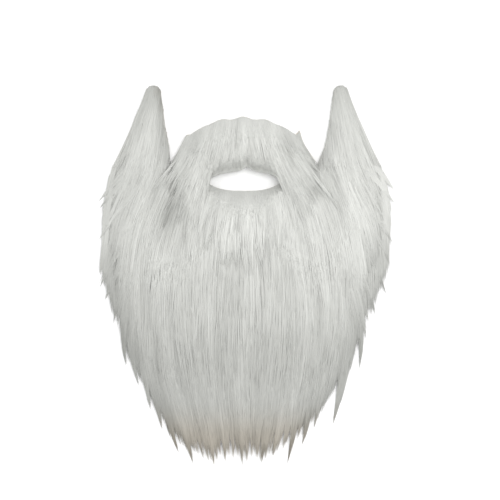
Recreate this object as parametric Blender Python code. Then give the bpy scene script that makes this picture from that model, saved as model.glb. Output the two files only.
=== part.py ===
"""White false beard with its own moustache, laid flat on its cloth side.

Metres, +Z up. X runs across the face and Y up it. The origin is on the underside of the beard's
cloth, on the middle line below the lower lip, where the beard is held to the chin.
"""

import math
from collections import namedtuple

import bpy

# Cloth and clearances
CLOTH_THICKNESS = 0.0015
PIECE_GAP = 0.0003
SEAM_GAP = 0.0008
FLOOR_GAP = 0.0004
CUTTER_REACH = 0.02

# Plan of the beard, seen from the front
JAW_WIDTH = 0.286
CHIN_DROP = 0.249
SIDEBURN_RISE = 0.121
SIDEBURN_SPREAD = 0.188
SIDEBURN_TIP_WIDTH = 0.016
SIDEBURN_FOOT_WIDTH = 0.060

# Mouth opening, and the seam from each of its corners up to the notch beside the sideburn
MOUTH_WIDTH = 0.070
MOUTH_HEIGHT = 0.0210
MOUTH_OFFSET = -0.003
LIP_RISE = 0.0145
CORNER_SHARE = 0.38
LIP_FLATNESS = 3
SEAM_HALF_WIDTH = 0.0735
SEAM_RISE = 0.0265

# Moustache
MOUSTACHE_RISE = 0.088
CORNER_RISE = 0.068
CORNER_SPREAD = 0.114
CORNER_POINT = 0.0055
CORNER_UNEVEN = 0.4
MOUSTACHE_OFFSET = -0.004
MOUSTACHE_END = 0.975
EDGE_ROUNDNESS = 2.2
EDGE_WAVE = 0.0014
EDGE_WAVES = 5
WAVE_REACH = 0.75
LIP_OVERHANG = 0.005
LIP_THINNING = 0.42
LIP_MARGIN_SHARE = 0.125

# Pile
BEARD_PILE = 0.036
MOUSTACHE_PILE = 0.020
PILE_EDGE = 0.003
OUTER_SLOPE = 0.078
OPENING_SLOPE = 0.030
MOUSTACHE_SLOPE = 0.026
LIP_SLOPE = 0.014
HAIR_LENGTH = 0.085
CLOTH_SHOW = 0.0008
CHEEK_OVERHANG = 0.018
SIDEBURN_OVERHANG = 0.0015

# Hollows in the cheeks, where the wings of the moustache lie
WING_REACH = 0.085
WING_LEAN = 0.36
HOLLOW_FLOOR = 0.009
HOLLOW_RISE = 0.021
HOLLOW_HALF_WIDTH = 0.036
HOLLOW_SIDE_RISE = 0.014
WING_CLEARANCE = 0.0016
SEAM_MARGIN = 0.012

# Locks
LOCK_WIDTH = 0.017
LOCK_DEPTH = 0.010
LOCK_STAGGER = 0.026
FRINGE_LENGTH = 0.056
FRINGE_WIDTH = 0.012
FRINGE_DEPTH = 0.0045
FRINGE_ROOT_SHARE = 0.62
FRINGE_REST_SHARE = 0.83
CHEEK_FRINGE_SHARE = 0.75
SHORTEST_SHARE = 0.7
LONGEST_SHARE = 1.1
WING_WIDTH = 0.013
WING_DEPTH = 0.008
WING_ROOT_SINK = 0.6

# Comb of the hair: its sideways run for each metre down, out on the cheeks and in at the end, and
# the levels, as shares of CHIN_DROP, between which the one fades out and the other comes in
CHEEK_SPLAY = 0.36
SPLAY_FULL = -0.11
SPLAY_GONE = 0.44
END_GATHER = 0.30
GATHER_START = 0.60

WHITE = (0.83, 0.83, 0.81, 1.0)
CLOTH_WHITE = (0.74, 0.73, 0.67, 1.0)

# Beard from the notches to its end: level is a share of CHIN_DROP below the origin, half_width a
# share of half JAW_WIDTH, sway the centre's shift as a share of JAW_WIDTH, crown of BEARD_PILE.
Section = namedtuple("Section", "level half_width sway crown")
CHIN_SECTIONS = [
    Section(-0.165, 0.942, 0.000, 0.90),
    Section(-0.10, 0.980, 0.000, 0.92),
    Section(-0.02, 0.992, 0.000, 0.96),
    Section(0.08, 1.000, 0.000, 1.00),
    Section(0.18, 1.000, -0.004, 1.00),
    Section(0.29, 0.992, -0.010, 1.00),
    Section(0.42, 0.905, -0.017, 0.96),
    Section(0.54, 0.830, -0.020, 0.90),
    Section(0.66, 0.742, -0.019, 0.82),
    Section(0.75, 0.648, -0.019, 0.72),
    Section(0.84, 0.550, -0.028, 0.58),
    Section(0.91, 0.455, -0.036, 0.44),
    Section(0.96, 0.350, -0.040, 0.30),
    Section(1.00, 0.200, -0.042, 0.16),
]

# A sideburn above its notch: rise is a share of SIDEBURN_RISE, out the centre's way from the foot
# to the tip, slim the width's way from SIDEBURN_FOOT_WIDTH to SIDEBURN_TIP_WIDTH.
SideSection = namedtuple("SideSection", "rise out slim")
SIDE_SECTIONS = [
    SideSection(0.50, 0.30, 0.30),
    SideSection(0.66, 0.52, 0.58),
    SideSection(0.80, 0.78, 0.80),
    SideSection(0.93, 0.98, 1.00),
]

# Rows of locks on the beard: level is a share of CHIN_DROP, reach of the half width there, count
# the locks in the row, length a share of HAIR_LENGTH.
LockRow = namedtuple("LockRow", "level reach count length")
BEARD_ROWS = [
    LockRow(0.70, 0.66, 6, 0.62),
    LockRow(0.50, 0.78, 8, 0.74),
    LockRow(0.30, 0.84, 9, 0.82),
    LockRow(0.10, 0.90, 9, 0.86),
    LockRow(-0.02, 0.24, 4, 0.70),
]

# Locks of the moustache, one side: out is a share of SEAM_HALF_WIDTH from the middle, rise of
# MOUSTACHE_RISE above the origin, length a share of WING_REACH, width of WING_WIDTH, and lean the
# sideways run for each metre down.
WingLock = namedtuple("WingLock", "out rise length width lean")
WING_LOCKS = [
    WingLock(0.82, 0.60, 0.70, 0.80, 0.72),
    WingLock(0.73, 0.65, 0.92, 1.00, 0.52),
    WingLock(0.61, 0.68, 1.06, 1.20, 0.37),
    WingLock(0.50, 0.64, 1.10, 1.10, 0.24),
    WingLock(0.50, 0.50, 0.80, 0.90, 0.14),
    WingLock(0.36, 0.82, 0.52, 1.00, 0.30),
    WingLock(0.14, 0.86, 0.46, 0.95, 0.10),
]

# Lengths and widths of neighbouring locks, as shares, and how far each starts below its row, as a
# share of LOCK_STAGGER, repeated along a row or round the fringe.
Uneven = namedtuple("Uneven", "length width shift")
UNEVEN = [
    Uneven(0.80, 1.00, 0.0),
    Uneven(0.50, 0.70, 0.8),
    Uneven(1.00, 1.20, 0.3),
    Uneven(0.62, 0.80, 1.0),
    Uneven(0.88, 0.95, -0.2),
    Uneven(0.52, 0.75, 0.6),
    Uneven(0.72, 1.10, -0.5),
]

# Shape of one lock along its length, as shares of its width and depth. proud is how far its centre
# stands out of the pile, as a share of its depth.
Station = namedtuple("Station", "along width depth proud")
LOCK_SHAPE = [
    Station(0.00, 0.55, 0.70, -0.80),
    Station(0.28, 1.00, 1.00, 0.00),
    Station(0.58, 0.86, 0.80, 0.10),
    Station(0.82, 0.48, 0.50, 0.00),
    Station(1.00, 0.06, 0.14, -0.35),
]

# Levels of CHIN_SECTIONS, as shares of CHIN_DROP: where the shape of the face's edge has faded out
# of the rows, where the cloth reaches its full margin, and where it starts to round in to its end.
FACE_FADE = 0.42
FADE_POWER = 3
MARGIN_FULL = 0.30
CLOTH_ROUNDING = 0.35
CLOTH_END_WIDTH = 0.24

SIDE_COLUMNS = 5
OPENING_COLUMNS = 12
MOUSTACHE_COLUMNS = 18
MOUSTACHE_ROWS = 6
FRINGE_COUNT = 38


def between(a, b, t):
    return a + (b - a) * t


def clamped(t):
    return min(max(t, 0.0), 1.0)


def swell(t):
    """A quarter of a sine: 0 at the edge, 1 at and past the crown."""
    return math.sin(0.5 * math.pi * clamped(t))


# Outline of the beard


def section_at(y):
    """Half width, centre and crown of the beard at the height y, between the table's rows."""
    level = min(max(-y / CHIN_DROP, CHIN_SECTIONS[0].level), 1.0)
    pairs = zip(CHIN_SECTIONS, CHIN_SECTIONS[1:])
    low, high = next((a, b) for a, b in pairs if level <= b.level)
    t = (level - low.level) / (high.level - low.level)
    mixed = Section(*(between(a, b, t) for a, b in zip(low, high)))
    return mixed.half_width * JAW_WIDTH / 2, mixed.sway * JAW_WIDTH, mixed.crown * BEARD_PILE


def lip_line(share):
    """Upper edge of the beard between the notches: a seam, the lower lip and the other seam."""
    reach = MOUTH_WIDTH / 2 / SEAM_HALF_WIDTH
    side = abs(share)
    corner = LIP_RISE + CORNER_SHARE * MOUTH_HEIGHT
    x = MOUTH_OFFSET + share * SEAM_HALF_WIDTH
    if side < reach:
        return x, between(LIP_RISE, corner, (side / reach) ** LIP_FLATNESS)
    return x, between(corner, LIP_RISE + SEAM_RISE, (side - reach) / (1 - reach))


def sideburn_edges(section):
    """Height, outer and inner distance from the middle line of a sideburn's section."""
    foot = JAW_WIDTH / 2 * CHIN_SECTIONS[0].half_width - SIDEBURN_FOOT_WIDTH / 2
    centre = between(foot, SIDEBURN_SPREAD / 2, section.out)
    half = between(SIDEBURN_FOOT_WIDTH, SIDEBURN_TIP_WIDTH, section.slim) / 2
    return section.rise * SIDEBURN_RISE, centre + half, centre - half


def opening_line():
    """The edge round the face: down one sideburn, along the seams and the lip, up the other."""
    inner = [(edges[2], edges[0]) for edges in map(sideburn_edges, SIDE_SECTIONS)]
    lip = [lip_line(i / OPENING_COLUMNS * 2 - 1) for i in range(OPENING_COLUMNS + 1)]
    return [(-x, y) for x, y in reversed(inner)] + lip + inner


def outer_edge(y):
    """Half width and centre of the whole outline, sideburns included."""
    half, centre, _ = section_at(y)
    levels = [(-CHIN_SECTIONS[0].level * CHIN_DROP, half)]
    levels += [sideburn_edges(section)[:2] for section in SIDE_SECTIONS]
    for (low, a), (high, b) in zip(levels, levels[1:]):
        if low < y <= high:
            return between(a, b, (y - low) / (high - low)), 0.0
    return (levels[-1][1], 0.0) if y > levels[-1][0] else (half, centre)


OPENING = opening_line()


def distance_to_opening(x, y):
    nearest = math.inf
    for (ax, ay), (bx, by) in zip(OPENING, OPENING[1:]):
        dx, dy = bx - ax, by - ay
        t = clamped(((x - ax) * dx + (y - ay) * dy) / (dx * dx + dy * dy))
        nearest = min(nearest, math.hypot(x - ax - t * dx, y - ay - t * dy))
    return nearest


# Height of the pile


def hollow(x, y):
    """Height of the hollow under a wing: a valley that curves up along the wing and at its sides."""
    out = abs(x - MOUTH_OFFSET) - (MOUTH_WIDTH / 2 + SEAM_HALF_WIDTH) / 2
    down = LIP_RISE + SEAM_RISE / 2 - y
    norm = math.hypot(WING_LEAN, 1.0)
    along, across = (out * WING_LEAN + down) / norm, (out - down * WING_LEAN) / norm
    lengthwise = HOLLOW_RISE * (along / WING_REACH) ** 2
    return HOLLOW_FLOOR + lengthwise + HOLLOW_SIDE_RISE * (across / HOLLOW_HALF_WIDTH) ** 2


def beard_top(x, y):
    """Height of the beard's pile: a crown that falls to the outline, to the face and into a hollow."""
    half, centre = outer_edge(y)
    inward = swell((half - abs(x - centre)) / OUTER_SLOPE)
    from_face = swell(distance_to_opening(x, y) / OPENING_SLOPE)
    crown = section_at(y)[2]
    return min(PILE_EDGE + (crown - PILE_EDGE) * inward * from_face, hollow(x, y))


def moustache_edges(x):
    """Lower and upper edge of the moustache at x."""
    s = (x - MOUSTACHE_OFFSET) / (CORNER_SPREAD / 2)
    notch = MOUTH_OFFSET + math.copysign(SEAM_HALF_WIDTH, s)
    corner = MOUSTACHE_OFFSET + math.copysign(CORNER_SPREAD / 2, s)
    if abs(s) < 1:
        upper = between(MOUSTACHE_RISE, CORNER_RISE, abs(s) ** EDGE_ROUNDNESS)
        upper += EDGE_WAVE * math.cos(EDGE_WAVES * math.pi * s) * clamped(1 - (s / WAVE_REACH) ** 2)
    else:
        notch_rise = LIP_RISE + SEAM_RISE + SEAM_GAP
        upper = between(CORNER_RISE, notch_rise, clamped((x - corner) / (notch - corner)))
    reach = abs(x - MOUTH_OFFSET) / (MOUTH_WIDTH / 2)
    if reach < 1:
        lower = LIP_RISE + MOUTH_HEIGHT * between(1.0, CORNER_SHARE, reach)
    else:
        lower = lip_line((x - MOUTH_OFFSET) / SEAM_HALF_WIDTH)[1]
    return lower + SEAM_GAP, upper


def moustache_top(x, y):
    lower, upper = moustache_edges(x)
    from_edge = swell((upper - y) / MOUSTACHE_SLOPE)
    from_lip = between(LIP_THINNING, 1.0, swell((y - lower) / LIP_SLOPE))
    foot = CLOTH_THICKNESS + PIECE_GAP + PILE_EDGE
    return foot + (MOUSTACHE_PILE - PILE_EDGE) * from_edge * from_lip


# Solids


def sheet(rows, low, top):
    """Closed solid over rows of plan points, all of one length, with None where nothing lies.

    low and top give the under and the upper height as functions of x and y.
    """
    index, points = {}, []
    for r, row in enumerate(rows):
        for c, place in enumerate(row):
            if place is not None:
                index[r, c] = len(points)
                points += [(*place, low(*place)), (*place, top(*place))]
    faces, rim = [], set()
    for r in range(len(rows) - 1):
        for c in range(len(rows[0]) - 1):
            corners = [(r, c), (r + 1, c), (r + 1, c + 1), (r, c + 1)]
            if not all(corner in index for corner in corners):
                continue
            ring = [index[corner] for corner in corners]
            faces += [[i + 1 for i in ring], ring[::-1]]
            for a, b in zip(ring, ring[1:] + ring[:1]):
                if (b, a) in rim:
                    rim.remove((b, a))
                else:
                    rim.add((a, b))
    faces += [[a, b, b + 1, a + 1] for a, b in sorted(rim)]
    return points, faces


def lock(path, heights, width, depth, least):
    """One pointed lock along plan points: a four-sided bar that swells and runs out to its tip.

    heights are its centre's heights, and least gives the lowest height allowed at x and y.
    """
    points, faces = [], []
    ends = [path[0]] + path + [path[-1]]
    for i, (station, (x, y), z) in enumerate(zip(LOCK_SHAPE, path, heights)):
        dx, dy = ends[i + 2][0] - ends[i][0], ends[i + 2][1] - ends[i][1]
        norm = math.hypot(dx, dy)
        half, thick = station.width * width / 2, station.depth * depth / 2
        aside = (-dy / norm * half, dx / norm * half)
        for across, up in ((1, 0), (0, 1), (-1, 0), (0, -1)):
            px, py = x + aside[0] * across, y + aside[1] * across
            points.append((px, py, max(z + up * thick, least(px, py) + (1 + up) * thick * 0.5)))
    for i in range(len(path) - 1):
        for k in range(4):
            a, b = 4 * i + k, 4 * i + (k + 1) % 4
            faces.append([a, a + 4, b + 4, b])
    last = len(points) - 4
    return points, faces + [[0, 1, 2, 3], [last + 3, last + 2, last + 1, last]]


def joined(shapes):
    points, faces = [], []
    for more_points, more_faces in shapes:
        faces += [[i + len(points) for i in face] for face in more_faces]
        points += more_points
    return points, faces


def add_object(name, shape, colour, roughness, helper=False):
    mesh = bpy.data.meshes.new(name)
    mesh.from_pydata(shape[0], [], shape[1])
    obj = bpy.data.objects.new(name, mesh)
    bpy.context.scene.collection.objects.link(obj)
    material = bpy.data.materials.new(name)
    material.use_nodes = True
    shader = material.node_tree.nodes["Principled BSDF"]
    shader.inputs["Base Color"].default_value = colour
    shader.inputs["Roughness"].default_value = roughness
    mesh.materials.append(material)
    if helper:
        obj.hide_render = True
        obj.display_type = "WIRE"
    return obj


def combine(obj, other, operation):
    modifier = obj.modifiers.new(f"{operation} {other.name}", "BOOLEAN")
    modifier.operation = operation
    modifier.solver = "EXACT"
    modifier.object = other
    modifier.use_self = operation == "UNION"


# Plans


# How far a cloth's edge lies inside the pile's: at the jaw, along a sideburn, at the face, at the end.
Margins = namedtuple("Margins", "jaw sideburn face end")


def sideburn_row(section, margins):
    """Points across one sideburn from its outer to its inner edge, rounded over at the tip."""
    y, outer, inner = sideburn_edges(section)
    outer -= margins.sideburn
    inner += margins.face
    bulge = 0.0
    if section is SIDE_SECTIONS[-1]:
        bulge = (1 - section.rise) * SIDEBURN_RISE - margins.sideburn
    row = []
    for i in range(SIDE_COLUMNS + 1):
        t = i / SIDE_COLUMNS
        row.append((between(outer, inner, t), y + bulge * math.sqrt(1 - (2 * t - 1) ** 2)))
    return row


def beard_plan(margins):
    """Rows of plan points from the tips of the sideburns to the end of the beard."""
    rows = []
    for section in reversed(SIDE_SECTIONS):
        side = sideburn_row(section, margins)
        rows.append([(-x, y) for x, y in side] + [None] * (OPENING_COLUMNS - 1) + side[::-1])
    notch_share = SEAM_HALF_WIDTH / (JAW_WIDTH / 2)
    columns = [between(-1, -notch_share, i / SIDE_COLUMNS) for i in range(SIDE_COLUMNS)]
    shares = [i / OPENING_COLUMNS * 2 - 1 for i in range(OPENING_COLUMNS + 1)]
    drop = CHIN_DROP - margins.end
    first = CHIN_SECTIONS[0]
    foot_lift = LIP_RISE + SEAM_RISE - margins.face + first.level * drop
    for section in CHIN_SECTIONS:
        y = -section.level * drop
        below = section.level - first.level
        fade = 1 - clamped(below / FACE_FADE)
        half, centre, _ = section_at(y + foot_lift * fade)
        half -= between(margins.sideburn, margins.jaw, clamped(below / MARGIN_FULL))
        if margins.end:
            rounding = clamped((section.level - CLOTH_ROUNDING) / (1 - CLOTH_ROUNDING))
            half *= math.sqrt(1 - (1 - CLOTH_END_WIDTH ** 2) * rounding ** 2)
        row = []
        for u in columns + [s * notch_share for s in shares] + [-u for u in reversed(columns)]:
            x = centre + half * u
            if abs(u) <= notch_share:
                lip_x, lip_y = lip_line(u / notch_share)
            else:
                lip_x, lip_y = side_foot(u, notch_share, half)
            lift = (lip_y - margins.face + first.level * drop) * fade
            row.append((between(x, lip_x, fade ** FADE_POWER), y + lift))
        rows.append(row)
    return rows


def side_foot(u, notch_share, half):
    """Plan point of a sideburn's foot, level with the notch, for a column at u of the half width."""
    side = math.copysign(1.0, u)
    notch_x, notch_y = lip_line(side)
    return between(notch_x, side * half, (abs(u) - notch_share) / (1 - notch_share)), notch_y


def moustache_plan(lip_margin, edge_margin):
    """Rows of plan points of the moustache, from its waved upper edge to the seams and the lip."""
    edge = SEAM_HALF_WIDTH * MOUSTACHE_END - edge_margin
    shares = [2 * i / MOUSTACHE_COLUMNS - 1 for i in range(MOUSTACHE_COLUMNS + 1)]
    corners = [MOUSTACHE_OFFSET + side * CORNER_SPREAD / 2 for side in (-1, 1)]
    columns = sorted([MOUTH_OFFSET + edge * share for share in shares] + corners)
    rows = []
    for r in range(MOUSTACHE_ROWS + 1):
        row = []
        for x in columns:
            lower, upper = moustache_edges(x)
            inside = MOUTH_WIDTH / 2 - abs(x - MOUTH_OFFSET)
            lower += lip_margin * clamped(inside / (LIP_MARGIN_SHARE * MOUTH_WIDTH))
            if x in corners:
                upper += CORNER_POINT * (1 + math.copysign(CORNER_UNEVEN, x))
            upper = max(upper - edge_margin, lower + edge_margin)
            row.append((x, between(upper, lower, r / MOUSTACHE_ROWS)))
        rows.append(row)
    return rows


# Locks


def hair_slope(x, y):
    """Sideways run of combed hair for each metre down: outwards on the cheeks, inwards at the end."""
    level = -y / CHIN_DROP
    splay = CHEEK_SPLAY * clamped((SPLAY_GONE - level) / (SPLAY_GONE - SPLAY_FULL))
    gather = END_GATHER * clamped((level - GATHER_START) / (1 - GATHER_START))
    return (splay - gather) * x / (JAW_WIDTH / 2)


def combed(start, length, slope):
    """Plan points of a lock's stations from its root, following the comb of the hair."""
    x, y = start
    path = [start]
    for a, b in zip(LOCK_SHAPE, LOCK_SHAPE[1:]):
        step = (b.along - a.along) * length
        lean = slope(x, y)
        norm = math.hypot(lean, 1.0)
        x, y = x + step * lean / norm, y - step / norm
        path.append((x, y))
    return path


def floor(x, y):
    return FLOOR_GAP


def beard_locks():
    """Rows of locks over the beard, the lowest row first, as each lies over the one below."""
    shapes = []
    for n, row in enumerate(BEARD_ROWS):
        for i in range(row.count):
            uneven = UNEVEN[(3 * i + 2 * n) % len(UNEVEN)]
            y = -row.level * CHIN_DROP - uneven.shift * LOCK_STAGGER
            half, centre, _ = section_at(y)
            share = (2 * (i + 0.5) / row.count - 1) * row.reach
            length = row.length * HAIR_LENGTH * between(SHORTEST_SHARE, LONGEST_SHARE, uneven.length)
            path = combed((centre + half * share, y), length, hair_slope)
            if any(hollow(*place) < BEARD_PILE for place in path):
                continue
            stations = zip(LOCK_SHAPE, path)
            heights = [beard_top(*place) + station.proud * LOCK_DEPTH for station, place in stations]
            shapes.append(lock(path, heights, LOCK_WIDTH * uneven.width, LOCK_DEPTH, floor))
    return joined(shapes)


def outline_points():
    """The beard's outer edge from the left cheek, round the end, to the right cheek."""
    left, right = [], []
    for section in CHIN_SECTIONS[2:]:
        y = -section.level * CHIN_DROP
        half, centre, _ = section_at(y)
        left.append((centre - half, y))
        right.append((centre + half, y))
    return left + right[::-1]


def along_outline(points, share):
    spans = [math.dist(a, b) for a, b in zip(points, points[1:])]
    left = share * sum(spans)
    for span, a, b in zip(spans, points, points[1:]):
        if left <= span:
            return between(a[0], b[0], left / span), between(a[1], b[1], left / span)
        left -= span
    return points[-1]


def fringe_locks():
    """Pointed locks round the outline that reach past the pile and lie down to the floor."""
    outline = outline_points()
    shapes = []
    for i in range(FRINGE_COUNT):
        uneven = UNEVEN[i % len(UNEVEN)]
        x, y = along_outline(outline, (i + 0.5) / FRINGE_COUNT)
        length = FRINGE_LENGTH * uneven.length * between(CHEEK_FRINGE_SHARE, 1.0, clamped(-y / CHIN_DROP))
        lean = hair_slope(x, y)
        inside = FRINGE_ROOT_SHARE * length / math.hypot(lean, 1.0)
        path = combed((x - inside * lean, y + inside), length, hair_slope)
        heights = []
        for station, place in zip(LOCK_SHAPE, path):
            resting = FLOOR_GAP + station.depth * FRINGE_DEPTH / 2
            rooted = FRINGE_ROOT_SHARE * beard_top(*place)
            heights.append(between(rooted, resting, clamped(station.along / FRINGE_REST_SHARE)))
        shapes.append(lock(path, heights, FRINGE_WIDTH * uneven.width, FRINGE_DEPTH, floor))
    return joined(shapes)


def wing_least(x, y):
    """Lowest height for a moustache lock: its cloth, or clear of the hollow from the seam on."""
    near_seam = y < moustache_edges(x)[0] + SEAM_MARGIN
    if near_seam and abs(x - MOUTH_OFFSET) > MOUTH_WIDTH / 2 - SEAM_MARGIN:
        return hollow(x, y) + WING_CLEARANCE
    return CLOTH_THICKNESS + PIECE_GAP


def moustache_locks():
    """Wings of long locks that leave the moustache over each seam and lie in the cheeks' hollows."""
    shapes = []
    for side in (-1, 1):
        for wing in WING_LOCKS:
            start = (MOUTH_OFFSET + side * wing.out * SEAM_HALF_WIDTH, wing.rise * MOUSTACHE_RISE)
            path = combed(start, wing.length * WING_REACH, lambda x, y: side * wing.lean)
            heights = []
            for station, place in zip(LOCK_SHAPE, path):
                on_fur = moustache_top(*place) if place[1] > LIP_RISE else 0.0
                heights.append(max(on_fur, wing_least(*place) + station.depth * WING_DEPTH / 2))
            heights[0] -= WING_ROOT_SINK * WING_DEPTH
            shapes.append(lock(path, heights, wing.width * WING_WIDTH, WING_DEPTH, wing_least))
    return joined(shapes)


def main():
    for obj in list(bpy.data.objects):
        bpy.data.objects.remove(obj)
    cloth = Margins(CHEEK_OVERHANG, SIDEBURN_OVERHANG, -CLOTH_SHOW, HAIR_LENGTH)
    pocket = Margins(*(margin - PIECE_GAP for margin in cloth))
    pile = Margins(0.0, 0.0, 0.0, 0.0)
    seat = CLOTH_THICKNESS + PIECE_GAP

    add_object(
        "beard_backing",
        sheet(beard_plan(cloth), lambda x, y: 0.0, lambda x, y: CLOTH_THICKNESS),
        CLOTH_WHITE,
        0.9,
    )
    beard_fur = add_object("beard_fur", sheet(beard_plan(pile), lambda x, y: 0.0, beard_top), WHITE, 0.6)
    locks = add_object("beard_locks", joined([fringe_locks(), beard_locks()]), WHITE, 0.6, helper=True)
    combine(beard_fur, locks, "UNION")
    under = sheet(beard_plan(pocket), lambda x, y: -CUTTER_REACH, lambda x, y: seat)
    combine(beard_fur, add_object("cloth_pocket", under, WHITE, 0.6, helper=True), "DIFFERENCE")

    add_object(
        "moustache_backing",
        sheet(moustache_plan(LIP_OVERHANG, 0.0), lambda x, y: 0.0, lambda x, y: CLOTH_THICKNESS),
        CLOTH_WHITE,
        0.9,
    )
    top_fur = sheet(moustache_plan(0.0, CLOTH_SHOW), lambda x, y: seat, moustache_top)
    moustache_fur = add_object("moustache_fur", top_fur, WHITE, 0.6)
    wings = add_object("wing_locks", moustache_locks(), WHITE, 0.6, helper=True)
    combine(moustache_fur, wings, "UNION")


main()
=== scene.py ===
"""White false beard with its moustache, laid flat: strands, under-fur, cloth and stitches.

Metres, +Z up. X runs across the face and Y up it. The strands follow the plan and the pile height
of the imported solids, whose driving sizes are repeated here. Only the mouth is cut a little larger
than theirs, because the hair closes it again.
"""

import math
from collections import namedtuple

import bpy
import numpy as np
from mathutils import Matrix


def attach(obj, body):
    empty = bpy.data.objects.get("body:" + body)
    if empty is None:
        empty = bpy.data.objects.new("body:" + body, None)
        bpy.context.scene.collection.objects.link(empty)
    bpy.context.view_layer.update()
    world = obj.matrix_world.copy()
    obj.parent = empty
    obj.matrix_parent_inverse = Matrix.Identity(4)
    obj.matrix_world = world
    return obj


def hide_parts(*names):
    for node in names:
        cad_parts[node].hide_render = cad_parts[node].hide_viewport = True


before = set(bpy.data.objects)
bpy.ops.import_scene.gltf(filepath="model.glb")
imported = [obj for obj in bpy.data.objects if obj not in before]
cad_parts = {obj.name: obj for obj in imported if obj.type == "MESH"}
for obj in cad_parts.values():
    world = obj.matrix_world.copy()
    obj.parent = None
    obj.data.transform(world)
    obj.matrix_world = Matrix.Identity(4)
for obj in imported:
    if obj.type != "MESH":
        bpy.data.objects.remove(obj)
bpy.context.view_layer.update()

# Plan of the beard
JAW_WIDTH = 0.286
CHIN_DROP = 0.249
SIDEBURN_RISE = 0.121
SIDEBURN_SPREAD = 0.188
SIDEBURN_TIP_WIDTH = 0.016
SIDEBURN_FOOT_WIDTH = 0.060
MOUTH_WIDTH = 0.074
MOUTH_HEIGHT = 0.0240
MOUTH_OFFSET = -0.003
LIP_RISE = 0.0145
PEAK_SHIFT = 0.0034
CORNER_SHARE = 0.342
LIP_FLATNESS = 3
SEAM_HALF_WIDTH = 0.0735
SEAM_RISE = 0.0265
NOTCH_RISE = LIP_RISE + SEAM_RISE

# Plan of the moustache
MOUSTACHE_RISE = 0.088
CORNER_RISE = 0.068
CORNER_SPREAD = 0.114
CORNER_POINT = 0.0055
CORNER_UNEVEN = 0.4
NIB_HALF_WIDTH = 0.004
MOUSTACHE_OFFSET = -0.004
EDGE_ROUNDNESS = 2.2
SHOULDER_ROUNDNESS = 3.0
EDGE_WAVE = 0.0014
EDGE_WAVES = 5
WAVE_REACH = 0.75
LIP_OVERHANG = 0.005
LIP_THINNING = 0.52
SEAM_THINNING = 0.30
SEAM_SLOPE = 0.030
SHOULDER_REACH = 1.2
LIP_FADE_START = 0.006
LIP_FADE = 0.014
WING_FALL_INNER = 0.075
WING_FALL_OUTER = 0.042
WING_FADE = 0.012
WING_NARROWING = 6
NARROWING_REACH = 0.05
NOTCH_MARGIN = 0.003
RIM_COVER = 0.0006
RIM_COVER_MIDDLE = 0.0014

# Pile and cloth
BEARD_PILE = 0.036
MOUSTACHE_PILE = 0.020
PILE_EDGE = 0.003
OUTER_SLOPE = 0.078
OPENING_SLOPE = 0.026
MOUSTACHE_SLOPE = 0.026
LIP_SLOPE = 0.015
BLEND = 0.0020
WING_BLEND = 0.0012
BEYOND_FALL = 0.022
HAIR_LENGTH = 0.085
CLOTH_THICKNESS = 0.0015
CLOTH_LIFT = 0.00025
CORE_SEAT = 0.0017
CHEEK_OVERHANG = 0.018
SIDEBURN_OVERHANG = 0.0015
SEAM_GAP = 0.0008
FACE_FADE = 0.42
MARGIN_FULL = 0.30

STITCH_STEP = 0.0036
STITCH_REACH = 0.0016
THREAD_RADIUS = 0.00022

# Hollows in the cheeks under the moustache's wings
WING_REACH = 0.085
WING_LEAN = 0.36
HOLLOW_FLOOR = 0.009
HOLLOW_RISE = 0.021
HOLLOW_HALF_WIDTH = 0.036
HOLLOW_SIDE_RISE = 0.014

# Short locks round the outline: how many, how far past it they end on the smooth flanks and lower
# down where they are ragged, and the height below which they are pointed
FRINGE_COUNT = 140
FLANK_BEYOND = 0.0015
RAGGED_BEYOND = 0.0027
FRINGE_BEYOND = 0.008
RAGGED_BELOW = -0.115

# Rows of the beard's plan: level down CHIN_DROP, half width as a share of half JAW_WIDTH, sway of
# the centre as a share of JAW_WIDTH, crown as a share of BEARD_PILE.
CHIN_TABLE = np.array([
    (-0.165, 0.942, 0.000, 0.90),
    (-0.10, 0.980, 0.000, 0.92),
    (-0.02, 0.992, 0.000, 0.96),
    (0.08, 1.000, 0.000, 1.00),
    (0.18, 1.000, -0.004, 1.00),
    (0.29, 0.992, -0.010, 1.00),
    (0.42, 0.905, -0.017, 0.96),
    (0.54, 0.830, -0.020, 0.90),
    (0.66, 0.742, -0.019, 0.82),
    (0.75, 0.648, -0.019, 0.72),
    (0.84, 0.550, -0.028, 0.58),
    (0.91, 0.455, -0.036, 0.44),
    (0.96, 0.350, -0.040, 0.30),
    (1.00, 0.200, -0.042, 0.16),
])

# A sideburn above its notch: rise up SIDEBURN_RISE, the centre's way out from foot to tip, and the
# width's way from SIDEBURN_FOOT_WIDTH to SIDEBURN_TIP_WIDTH.
SIDE_TABLE = np.array([
    (0.50, 0.30, 0.30),
    (0.66, 0.52, 0.58),
    (0.80, 0.78, 0.80),
    (0.93, 0.98, 1.00),
])

# Upper rim of the mouth: way out from its peak to a corner, and the share of the rise left there.
RIM_TABLE = np.array([
    (0.00, 1.00),
    (0.05, 0.88),
    (0.11, 0.77),
    (0.20, 0.69),
    (0.37, 0.61),
    (0.66, 0.48),
    (0.88, 0.28),
    (1.00, 0.00),
])

# Comb of the beard: height above the origin, and the sideways run for each metre down at the jaw's edge.
COMB = np.array([
    (-0.250, -0.38),
    (-0.170, -0.16),
    (-0.095, 0.05),
    (-0.040, 0.24),
    (0.000, 0.44),
    (0.040, 0.46),
    (0.120, 0.46),
])
COMB_SPREAD = 0.062
COMB_DRIFT = 0.055
SIDE_COMB = (0.02, 0.50)
FAN_RISE = 0.005
FAN_RISE_FADE = 0.05
FAN_OUT = 0.045
FAN_OUT_FADE = 0.030
FRINGE_SPLAY = 0.36
SPLAY_RISE = -0.17
SPLAY_FADE = 0.12
FLANK_COMB = 0.45

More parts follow.
